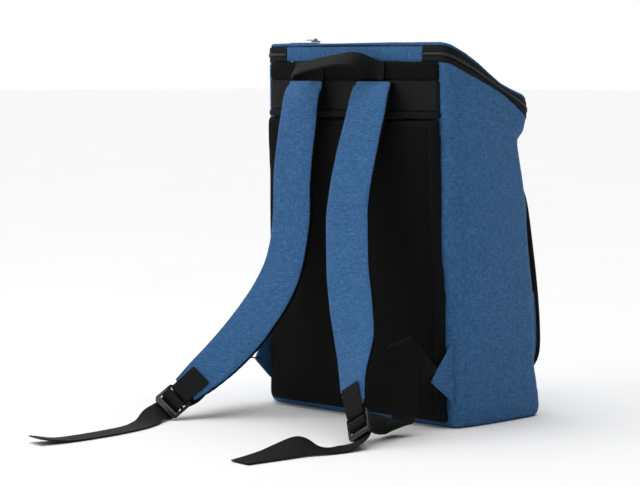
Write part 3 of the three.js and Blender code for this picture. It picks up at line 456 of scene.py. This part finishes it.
def copied(node, name):
    """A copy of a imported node's mesh, welded, as a new piece."""
    piece = bpy.data.objects.new(name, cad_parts[node].data.copy())
    bpy.context.scene.collection.objects.link(piece)
    choose(piece)
    bpy.ops.object.mode_set(mode="EDIT")
    bpy.ops.mesh.select_all(action="SELECT")
    bpy.ops.mesh.remove_doubles(threshold=1e-5)
    bpy.ops.object.mode_set(mode="OBJECT")
    return piece


def remeshed(piece, grid, smoothing):
    """Gives the piece an even mesh and softens its edges."""
    apply_modifier(piece, "REMESH", mode="VOXEL", voxel_size=grid, adaptivity=0.0)
    apply_modifier(piece, "SMOOTH", factor=0.5, iterations=smoothing)
    return piece


def grown(piece, amount):
    """Moves the surface outwards, which closes the small gaps that softened edges leave."""
    move_points(piece, points_of(piece) + normals_of(piece) * amount)


def waved(piece, depth, spacing, seed):
    """Moves the surface in and out in slow waves, as fabric over foam does."""
    places, normals = points_of(piece), normals_of(piece)
    shift = Vector((seed * 7.31, seed * 3.17, seed * 5.53))
    amounts = np.array([noise.noise(Vector(p) / spacing + shift) for p in places])
    move_points(piece, places + normals * (amounts * depth)[:, None])


def folded(piece, folds):
    """Presses creases into the surface.

    Each fold has two ends, a width, a depth and the direction it is pressed in, and shows only on the side
    that faces against that direction.
    """
    places, normals = points_of(piece), normals_of(piece)
    for ends, wide, deep, press in folds:
        press = np.array(press, dtype=float)
        level = places - (places @ press)[:, None] * press
        start, end = (np.array(point) - np.dot(point, press) * press for point in ends)
        run = end - start
        share = np.clip(((level - start) @ run) / (run @ run), 0, 1)
        away = np.linalg.norm(level - (start + share[:, None] * run), axis=1)
        facing = np.clip(-FOLD_SLOPE * normals @ press, 0, 1)
        places = places + press * (deep * np.exp(-((away / wide) ** 2)) * facing)[:, None]
    move_points(piece, places)


def swollen(piece, cap):
    """Fills the piece like a pad in a short cloth simulation.

    No point goes further than cap, and the points that don't face the wearer are held.
    """
    before, normals = points_of(piece), normals_of(piece)
    choose(piece)
    cloth = piece.modifiers.new("Fill", "CLOTH")
    cloth.settings.quality = CLOTH_QUALITY
    cloth.settings.use_pressure = True
    cloth.settings.uniform_pressure_force = CLOTH_PRESSURE
    cloth.settings.effector_weights.gravity = 0
    cloth.point_cache.frame_end = CLOTH_FRAMES
    for step in range(1, CLOTH_FRAMES + 1):
        bpy.context.scene.frame_set(step)
    bpy.ops.object.modifier_apply(modifier=cloth.name)
    bpy.context.scene.frame_set(1)
    moved = points_of(piece) - before
    far = np.linalg.norm(moved, axis=1)
    free = np.clip(normals[:, 1] * WEARER_SLOPE, 0, 1)
    moved *= (np.minimum(1, cap / np.maximum(far, NO_MOVE)) * free)[:, None]
    move_points(piece, before + moved)


def shaded(piece, degrees):
    """Shades the piece smooth, up to an angle or, with None, all over."""
    choose(piece)
    if degrees is None:
        bpy.ops.object.shade_smooth()
    else:
        bpy.ops.object.shade_smooth_by_angle(angle=math.radians(degrees))


def dressed(piece, slot, context, replaces=(), body=BODY, degrees=None, finish=None):
    """Gives a piece its material and its body, and hides the nodes that it stands for."""
    shaded(piece, degrees)
    piece.data.materials.clear()
    piece.data.materials.append(material_of(finish or slot, context))
    if replaces:
        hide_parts(*replaces)
    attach(piece, body)
    return piece


def thin_piece(node, name, slot, context, edge, levels=2, wave=0.0, seed=1, grow=0.0):
    """A tape, a strip of webbing or a bound edge: the node's mesh as a smooth band with narrow edges."""
    piece = copied(node, name)
    choose(piece)
    bpy.ops.object.mode_set(mode="EDIT")
    bpy.ops.mesh.select_all(action="SELECT")
    bpy.ops.mesh.tris_convert_to_quads(face_threshold=math.radians(60), shape_threshold=math.radians(80))
    bpy.ops.object.mode_set(mode="OBJECT")
    apply_modifier(piece, "BEVEL", width=edge, segments=2, limit_method="ANGLE", angle_limit=math.radians(50))
    smoothed(piece, levels)
    grown(piece, grow)
    if wave:
        waved(piece, depth=wave, spacing=TAPE_SPACING, seed=seed)
    return dressed(piece, slot, context, [node])


def hard_piece(node, name, slot, context, edge, body=BODY):
    """A moulded or cast piece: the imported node's mesh with rounded edges."""
    piece = copied(node, name)
    choose(piece)
    bpy.ops.object.mode_set(mode="EDIT")
    bpy.ops.mesh.select_all(action="SELECT")
    bpy.ops.mesh.dissolve_limited(angle_limit=math.radians(1))
    bpy.ops.object.mode_set(mode="OBJECT")
    apply_modifier(piece, "BEVEL", width=edge, segments=3, limit_method="ANGLE", angle_limit=math.radians(25))
    return dressed(piece, slot, context, [node], body=body, degrees=40)


def cord_mesh(name, line, radius):
    """A round cord of fabric along a line, as a mesh."""
    data = bpy.data.curves.new(name, "CURVE")
    data.dimensions = "3D"
    data.bevel_depth = radius
    data.bevel_resolution = 2
    data.use_fill_caps = True
    spline = data.splines.new("POLY")
    spline.points.add(len(line) - 1)
    for point, place in zip(spline.points, line):
        point.co = (*place, 1)
    piece = bpy.data.objects.new(name, data)
    bpy.context.scene.collection.objects.link(piece)
    choose(piece)
    bpy.ops.object.convert(target="MESH")
    return bpy.context.object


def surface_of(piece):
    """The piece's faces, ready to be searched."""
    mesh = piece.data
    return BVHTree.FromPolygons([v.co for v in mesh.vertices], [p.vertices for p in mesh.polygons])


def evenly(line, step):
    """Points at even distances along a line."""
    line = np.array(line)
    along = np.concatenate([[0], np.cumsum(np.linalg.norm(np.diff(line, axis=0), axis=1))])
    wanted = np.arange(0, along[-1], step)
    return np.stack([np.interp(wanted, along, line[:, k]) for k in range(3)], axis=1)


def eased(line, rounds):
    """The line with its small steps smoothed out, ends kept."""
    line = np.array(line)
    for _ in range(rounds):
        line[1:-1] = (line[:-2] + 2 * line[1:-1] + line[2:]) / 4
    return line


def stitch_row(name, lines, piece, slot, finish, context):
    """Sewn stitches along lines near a piece's surface: one stitch is copied, and all are one mesh."""
    sizes = context.scene.bag_sizes
    bpy.ops.object.select_all(action="DESELECT")
    bpy.ops.mesh.primitive_uv_sphere_add(segments=6, ring_count=4, radius=0.5)
    row = bpy.context.object
    row.name = name
    template = points_of(row)
    faces = [tuple(p.vertices) for p in row.data.polygons]
    surface = surface_of(piece)
    points, polygons = [], []
    for line in lines:
        spots = evenly(line, sizes.stitch + sizes.stitch_gap)
        for start, end in zip(spots[:-1], spots[1:]):
            middle = Vector((start + end) / 2)
            place, normal, _, _ = surface.find_nearest(middle)
            along = (Vector(end) - Vector(start)).normalized()
            along = (along - along.dot(normal) * normal).normalized()
            side = along.cross(normal)
            rise = normal * sizes.thread
            axes = np.array([along * sizes.stitch, side * sizes.thread, rise * STITCH_FLAT])
            polygons += [tuple(i + len(points) for i in face) for face in faces]
            points += list(template @ axes + np.array(place + rise * STITCH_RISE))
    mesh = bpy.data.meshes.new(name)
    mesh.from_pydata(points, [], polygons)
    row.data = mesh
    row.location = (0, 0, 0)
    return dressed(row, slot, context, finish=finish)


def outer_skin(piece):
    """Takes the inner wall and floor off the tub and closes its top, so that its skin can be shaped."""
    low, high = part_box("body_shell")
    middle = (low + high) / 2
    floor_top = low.z + INNER_FLOOR
    choose(piece)
    bpy.ops.object.mode_set(mode="EDIT")
    bpy.ops.mesh.select_mode(type="FACE")
    bpy.ops.mesh.select_all(action="DESELECT")
    bpy.ops.object.mode_set(mode="OBJECT")
    for face in piece.data.polygons:
        out = Vector((face.center.x - middle.x, face.center.y - middle.y, 0)).normalized()
        inner_wall = abs(face.normal.z) < LEVEL_FACE and face.normal.dot(out) < INWARD_FACE
        inner_floor = face.normal.z > LEVEL_FACE and face.center.z < floor_top
        face.select = inner_wall or inner_floor
    bpy.ops.object.mode_set(mode="EDIT")
    bpy.ops.mesh.delete(type="FACE")
    bpy.ops.mesh.select_all(action="DESELECT")
    bpy.ops.mesh.select_mode(type="EDGE")
    bpy.ops.mesh.select_non_manifold()
    bpy.ops.mesh.edge_face_add()
    bpy.ops.object.mode_set(mode="OBJECT")
    return piece


def edge_lines(piece, low, high, steps):
    """Both edges of a strap, as points from low to high."""
    places = points_of(piece)
    lines = ([], [])
    for height in np.linspace(low, high, steps):
        level = places[np.abs(places[:, 2] - height) < EDGE_BAND]
        lines[0].append(level[np.argmin(level[:, 0])])
        lines[1].append(level[np.argmax(level[:, 0])])
    return [eased(line, EDGE_ROUNDS) for line in lines]


# The photo's camera, fitted to the bag's corners, in metres.
CAMERA_PLACE = (-1.8335, 1.9840, 0.4141)
CAMERA_AIM = (0.0720, 0.0718, 0.2016)
CAMERA_LENS = 125.6
SENSOR_WIDTH = 36.0

# Place, power in watts and width of the soft light, which points at the bag, and the strength and
# spread of the light from above.
KEY_PLACE = (1.3, 2.5, 1.7)
KEY_POWER = 17
KEY_WIDTH = 1.8
KEY_AIM = (0, 0, 0.2)
TOP_STRENGTH = 2.05
TOP_SPREAD = math.radians(70)
SKY_SEEN = 1.0
SKY_DARK = 0.0
SKY_LIGHT = 0.8


def add_light(scene, name, kind, place, strength, aim):
    """A light that points at a place."""
    data = bpy.data.lights.new(name, kind)
    data.energy = strength
    light = bpy.data.objects.new(name, data)
    light.location = place
    light.rotation_euler = (Vector(aim) - Vector(place)).to_track_quat("-Z", "Y").to_euler()
    scene.collection.objects.link(light)
    return data


def add_world(scene):
    """A white studio wall all round, which lights the bag less than it shows."""
    world = bpy.data.worlds.new("studio")
    world.use_nodes = True
    tree = world.node_tree
    tree.nodes.clear()
    white = (1.0, 1.0, 1.0, 1.0)
    seen = add_node(tree, "ShaderNodeBackground", {"Color": white, "Strength": SKY_SEEN})
    place = add_node(tree, "ShaderNodeTexCoord").outputs["Generated"]
    aside = add_node(tree, "ShaderNodeSeparateXYZ", {"Vector": place}).outputs["X"]
    light = add_node(tree, "ShaderNodeMapRange", {
        "Value": aside, "From Min": -1.0, "From Max": 1.0, "To Min": SKY_DARK, "To Max": SKY_LIGHT,
    })
    lit = add_node(tree, "ShaderNodeBackground", {"Color": white, "Strength": light.outputs[0]})
    ray = add_node(tree, "ShaderNodeLightPath").outputs["Is Camera Ray"]
    both = add_node(tree, "ShaderNodeMixShader", {0: ray, 1: lit.outputs[0], 2: seen.outputs[0]})
    add_node(tree, "ShaderNodeOutputWorld", {"Surface": both.outputs[0]})
    scene.world = world
    scene.view_settings.view_transform = "Standard"


# The back corners' line at the base and at the rim, how far in front of it the side seams lie, their
# widths, and how far below the lower tape's top they end.
BACK_LINE = (77 * MM, 88 * MM)
CREASE_INSET = 13 * MM
CREASE_WIDTH = 4 * MM
SEAM_WIDTH = 2.6 * MM
SEAM_END = 20 * MM

# Height of the tub's lower edge that is drawn down over the base, how far and how quickly it is drawn,
# and the least height that it keeps above the floor.
FOOT_HEIGHT = 16 * MM
FOOT_DRAW = 3.5 * MM
FOOT_SLOPE = 2
FLOOR_GAP = 0.5 * MM


class BACKPACK_OT_stage(bpy.types.Operator):
    """Adds the camera, the pale floor and the studio light"""

    bl_idname = "backpack.stage"
    bl_label = "Stage"

    def execute(self, context):
        scene = context.scene
        data = bpy.data.cameras.new("photo_camera")
        data.lens = CAMERA_LENS
        data.sensor_width = SENSOR_WIDTH
        data.clip_end = 50
        camera = bpy.data.objects.new("photo_camera", data)
        camera.location = CAMERA_PLACE
        towards = Vector(CAMERA_AIM) - Vector(CAMERA_PLACE)
        camera.rotation_euler = towards.to_track_quat("-Z", "Y").to_euler()
        scene.collection.objects.link(camera)
        scene.camera = camera

        bpy.ops.object.select_all(action="DESELECT")
        bpy.ops.mesh.primitive_plane_add(size=60, location=(0, 0, 0))
        floor = context.object
        floor.name = "studio_floor"
        material, tree, place = new_material("matt_white_floor")
        colours = scene.bag_colours
        grain = add_node(tree, "ShaderNodeTexNoise", {"Vector": place, "Scale": 3.0}).outputs["Fac"]
        tone = add_node(tree, "ShaderNodeMix", {0: grain, 6: colours.floor_dark, 7: colours.floor},
                        data_type="RGBA")
        finish_material(tree, {
            "Base Color": tone.outputs[2],
            "Roughness": 0.9,
            "Specular IOR Level": 0.1,
        })
        floor.data.materials.append(material)
        add_world(scene)
        key = add_light(scene, "key", "AREA", KEY_PLACE, KEY_POWER, KEY_AIM)
        key.size = KEY_WIDTH
        top = add_light(scene, "top", "SUN", (0, 0, 3), TOP_STRENGTH, (0, 0, 0))
        top.angle = TOP_SPREAD
        return {"FINISHED"}


class BACKPACK_OT_tub(bpy.types.Operator):
    """Adds the bag's padded tub with its seams, and its base"""

    bl_idname = "backpack.tub"
    bl_label = "Tub"

    def execute(self, context):
        sizes = context.scene.bag_sizes
        piece = remeshed(outer_skin(copied("body_shell", "bag_tub")), sizes.panel_grid, smoothing=1)
        grown(piece, TAPE_GROW)
        waved(piece, depth=sizes.panel_wave, spacing=0.1, seed=3)
        waved(piece, depth=0.3 * sizes.panel_wave, spacing=0.03, seed=9)
        folded(piece, self.seams(sizes))
        places = points_of(piece)
        share = np.clip((FOOT_HEIGHT - places[:, 2]) / FOOT_HEIGHT * FOOT_SLOPE, 0, 1)
        places[:, 2] = np.maximum(places[:, 2] - FOOT_DRAW * share, FLOOR_GAP)
        move_points(piece, places)
        dressed(piece, "blue_weave", context, ["body_shell"])
        thin_piece("base_panel", "base_sheet", "black_weave", context, edge=0.8 * MM, levels=1)
        return {"FINISHED"}

    def seams(self, sizes):
        """The pinched seams beside the back corners and the seams above the base, on both sides."""
        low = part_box("body_shell")[0]
        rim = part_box("zip_tape_lower")[1].z - SEAM_END
        front = (0, low.y, sizes.base_seam_height)
        folds = []
        for side in (-1, 1):
            bottom = (0, BACK_LINE[0] - CREASE_INSET, low.z)
            top = (0, BACK_LINE[1] - CREASE_INSET, rim)
            back = (0, BACK_LINE[0] - CREASE_INSET, sizes.base_seam_height)
            folds.append(((bottom, top), CREASE_WIDTH, sizes.corner_crease, (-side, 0, 0)))
            folds.append(((back, front), SEAM_WIDTH, sizes.base_seam, (-side, 0, 0)))
        return folds


class BACKPACK_OT_lid(bpy.types.Operator):
    """Adds the lid, its hinge strip and the zip round it"""

    bl_idname = "backpack.lid"
    bl_label = "Lid"

    def execute(self, context):
        sizes = context.scene.bag_sizes
        lid = remeshed(copied("lid_panel", "lid_top"), sizes.strap_grid, smoothing=2)
        waved(lid, depth=0.7 * MM, spacing=0.07, seed=4)
        dressed(lid, "blue_weave", context, ["lid_panel"])
        thin_piece("hinge_strip", "hinge_fabric", "blue_weave", context, edge=0.6 * MM, wave=0.3 * MM,
                   seed=5)
        thin_piece("zip_tape_lower", "lower_tape", "black_weave", context, edge=0.7 * MM, wave=0.4 * MM,
                   seed=6, grow=TAPE_GROW)
        thin_piece("zip_tape_upper", "upper_tape", "black_weave", context, edge=1.1 * MM, wave=0.4 * MM,
                   seed=7, grow=TAPE_GROW)
        thin_piece("zip_coil", "zip_teeth", "zip_plastic", context, edge=0.3 * MM, levels=1, grow=TAPE_GROW)
        thin_piece("zip_end_tape", "zip_end", "black_weave", context, edge=0.2 * MM, levels=1)
        hard_piece("zip_slider", "slider_body", "zip_metal", context, edge=0.2 * MM)
        hard_piece("zip_pull", "slider_pull", "zip_metal", context, edge=0.2 * MM, body=PULL_BODY)
        return {"FINISHED"}


class BACKPACK_OT_back(bpy.types.Operator):
    """Adds the padded back, its yoke, ridge and top band"""

    bl_idname = "backpack.back"
    bl_label = "Back"

    def execute(self, context):
        sizes = context.scene.bag_sizes
        pad = remeshed(copied("back_pad", "back_cushion"), 2 * sizes.pad_grid, smoothing=1)
        swollen(pad, cap=2.5 * MM)
        smoothed(pad)
        grown(pad, FILL_GAP)
        waved(pad, depth=sizes.pad_wave, spacing=0.06, seed=11)
        self.bind(pad, sizes.border)
        dressed(pad, "black_mesh", context, ["back_pad"])
        thin_piece("back_ridge", "back_piping", "black_webbing", context, edge=1.2 * MM, grow=RIDGE_GROW)
        for node, name, slot, seed in (
            ("back_yoke", "yoke_cloth", "black_weave", 12),
            ("top_band", "top_mesh", "black_mesh", 13),
        ):
            piece = remeshed(copied(node, name), grid=1.6 * MM, smoothing=2)
            grown(piece, FILL_GAP)
            waved(piece, depth=0.5 * MM, spacing=0.05, seed=seed)
            dressed(piece, slot, context, [node])
        return {"FINISHED"}

    def bind(self, pad, border):
        """Marks the pad's bound border, where the mesh has no holes, and presses its seam in."""
        places, normals = points_of(pad), normals_of(pad)
        low, high = places.min(axis=0), places.max(axis=0)
        bands = np.linspace(low[2], high[2], BANDS)
        reach = [np.abs(places[np.abs(places[:, 2] - z) < BAND_HEIGHT, 0]).max() for z in bands]
        aside = np.interp(places[:, 2], bands, reach) - np.abs(places[:, 0])
        inset = np.minimum(aside, np.minimum(places[:, 2] - low[2], high[2] - places[:, 2]))
        seam = np.exp(-(((inset - border) / BORDER_SEAM_WIDTH) ** 2)) * np.clip(normals[:, 1], 0, 1)
        move_points(pad, places - normals * (seam * BORDER_SEAM_DEPTH)[:, None])
        mark = pad.data.attributes.new("border", "FLOAT", "POINT")
        mark.data.foreach_set("value", np.clip((border - inset) / BORDER_SOFT, 0, 1))


class BACKPACK_OT_handle(bpy.types.Operator):
    """Adds the carry handle"""

    bl_idname = "backpack.handle"
    bl_label = "Carry handle"

    def execute(self, context):
        thin_piece("carry_handle", "handle_webbing", "black_webbing", context, edge=0.8 * MM)
        return {"FINISHED"}


class BACKPACK_OT_straps(bpy.types.Operator):
    """Adds both shoulder straps with their webbing, tabs and wings"""

    bl_idname = "backpack.straps"
    bl_label = "Shoulder straps"

    def execute(self, context):
        sizes = context.scene.bag_sizes
        for seed, hand in enumerate(HANDS):
            face = copied("shoulder_strap_" + hand, "strap_face_" + hand)
            remeshed(face, sizes.strap_grid, smoothing=4)
            waved(face, depth=sizes.strap_wave, spacing=0.045, seed=20 + seed)
            dressed(face, "blue_weave", context, ["shoulder_strap_" + hand])
            self.sew(face, hand, context)
            lining = copied("strap_mesh_" + hand, "strap_lining_" + hand)
            remeshed(lining, 1.2 * sizes.strap_grid, smoothing=4)
            waved(lining, depth=0.5 * sizes.strap_wave, spacing=0.05, seed=22 + seed)
            dressed(lining, "black_mesh", context, ["strap_mesh_" + hand])
            thin_piece("buckle_tab_" + hand, "tab_webbing_" + hand, "black_webbing", context, edge=0.4 * MM)
            thin_piece("strap_webbing_" + hand, "free_webbing_" + hand, "black_webbing", context,
                       edge=0.45 * MM)
            thin_piece("strap_wing_" + hand, "wing_cloth_" + hand, "blue_weave", context, edge=0.9 * MM,
                       levels=3)
            hard_piece("ladder_lock_" + hand, "lock_" + hand, "buckle_plastic", context, edge=1.1 * MM)
        return {"FINISHED"}

    def sew(self, face, hand, context):
        """Adds the turned hems and the stitches along both edges of a strap."""
        sizes = context.scene.bag_sizes
        low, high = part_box("shoulder_strap_" + hand)
        lines = edge_lines(face, low.z + HEM_START, high.z - HEM_END, HEM_STEPS)
        across = lines[1] - lines[0]
        across /= np.linalg.norm(across, axis=1)[:, None]
        along = np.gradient(lines[0], axis=0)
        along /= np.linalg.norm(along, axis=1)[:, None]
        out = np.cross(across, -along)
        out *= np.sign(out[:, 1])[:, None]
        rows = []
        for line, inwards, edge in ((lines[0], across, "inner"), (lines[1], -across, "outer")):
            hem = cord_mesh("strap_hem_%s_%s" % (hand, edge), line, sizes.hem)
            dressed(hem, "blue_weave", context)
            rows.append(line + inwards * sizes.stitch_inset + out * STITCH_SEARCH)
        stitch_row("strap_stitches_" + hand, rows, face, "blue_weave", "blue_thread", context)


class BACKPACK_OT_pocket(bpy.types.Operator):
    """Adds the front pocket"""

    bl_idname = "backpack.pocket"
    bl_label = "Front pocket"

    def execute(self, context):
        sizes = context.scene.bag_sizes
        face = remeshed(copied("pocket_face", "pocket_front"), sizes.strap_grid, smoothing=1)
        grown(face, FILL_GAP)
        waved(face, depth=1.0 * MM, spacing=0.07, seed=30)
        dressed(face, "blue_weave", context, ["pocket_face"])
        thin_piece("pocket_gusset", "pocket_side", "blue_weave", context, edge=0.4 * MM, levels=1,
                   grow=TAPE_GROW)
        thin_piece("pocket_zip_band", "pocket_zip", "black_weave", context, edge=0.4 * MM, levels=1,
                   grow=TAPE_GROW)
        thin_piece("pocket_piping", "pocket_edge", "black_webbing", context, edge=0.6 * MM, grow=RIDGE_GROW)
        return {"FINISHED"}


class BACKPACK_PT_panel(bpy.types.Panel):
    """Lists the pieces in the sidebar"""

    bl_label = "Cooler backpack"
    bl_idname = "BACKPACK_PT_panel"
    bl_space_type = "VIEW_3D"
    bl_region_type = "UI"
    bl_category = "Backpack"

    def draw(self, context):
        for operator in OPERATORS:
            self.layout.operator(operator.bl_idname)
        for group in (context.scene.bag_sizes, context.scene.bag_colours):
            for name in group.__annotations__:
                self.layout.prop(group, name)


OPERATORS = (
    BACKPACK_OT_stage,
    BACKPACK_OT_tub,
    BACKPACK_OT_lid,
    BACKPACK_OT_back,
    BACKPACK_OT_handle,
    BACKPACK_OT_straps,
    BACKPACK_OT_pocket,
)
CLASSES = (BagSizes, BagColours, *OPERATORS, BACKPACK_PT_panel)


def register():
    for cls in CLASSES:
        bpy.utils.register_class(cls)
    bpy.types.Scene.bag_sizes = bpy.props.PointerProperty(type=BagSizes)
    bpy.types.Scene.bag_colours = bpy.props.PointerProperty(type=BagColours)


def unregister():
    del bpy.types.Scene.bag_colours
    del bpy.types.Scene.bag_sizes
    for cls in reversed(CLASSES):
        bpy.utils.unregister_class(cls)


def main():
    register()
    for operator in OPERATORS:
        getattr(bpy.ops.backpack, operator.bl_idname.split(".")[1])()


if __name__ == "__main__":
    main()
